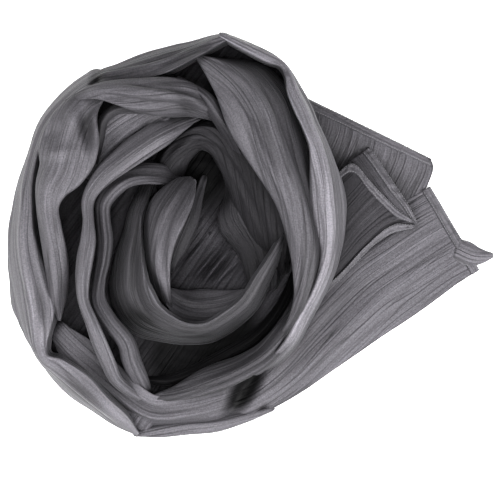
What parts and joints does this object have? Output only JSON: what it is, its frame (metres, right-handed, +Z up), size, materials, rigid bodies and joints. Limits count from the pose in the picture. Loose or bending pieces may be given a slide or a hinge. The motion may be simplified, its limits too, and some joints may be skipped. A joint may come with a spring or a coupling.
{
  "type": "hijab",
  "caption": "Crinkled dark grey hijab wound into a loose coil and laid down, with its hemmed ends flat at one side.",
  "frame": {"origin": "under the middle of the whole, on the surface that it rests on", "axes": "+X from the coil towards the flat ends, +Y across the coil, +Z up"},
  "size_m": [0.361, 0.302, 0.0692],
  "materials": {
    "cloth": "crinkled, soft sheen",
    "hem": "folded twice and stitched"
  },
  "bodies": {
    "root": {"base_layers": "cloth", "outer_left": "cloth", "outer_top": "cloth", "outer_right": "cloth", "second_left": "cloth", "second_top": "cloth", "upper_slope": "cloth", "upper_roll": "cloth", "left_ridge": "cloth", "left_ridge_inner": "cloth", "right_band": "cloth", "bottom_band": "cloth", "groove_fold": "cloth", "cup": "cloth", "cup_inside": "cloth", "petal": "cloth", "petal_inside": "cloth", "arch": "cloth", "arch_lower": "cloth", "tail_panel": "cloth", "tail_corner": "cloth", "tail_back": "cloth", "tail_flap": "cloth", "tail_mid": "cloth", "bottom_edge": "cloth", "hem_back": "hem", "hem_front": "hem", "hem_mid": "hem", "hem_flap_upper": "hem", "hem_flap_lower": "hem"}
  },
  "joints": []
}
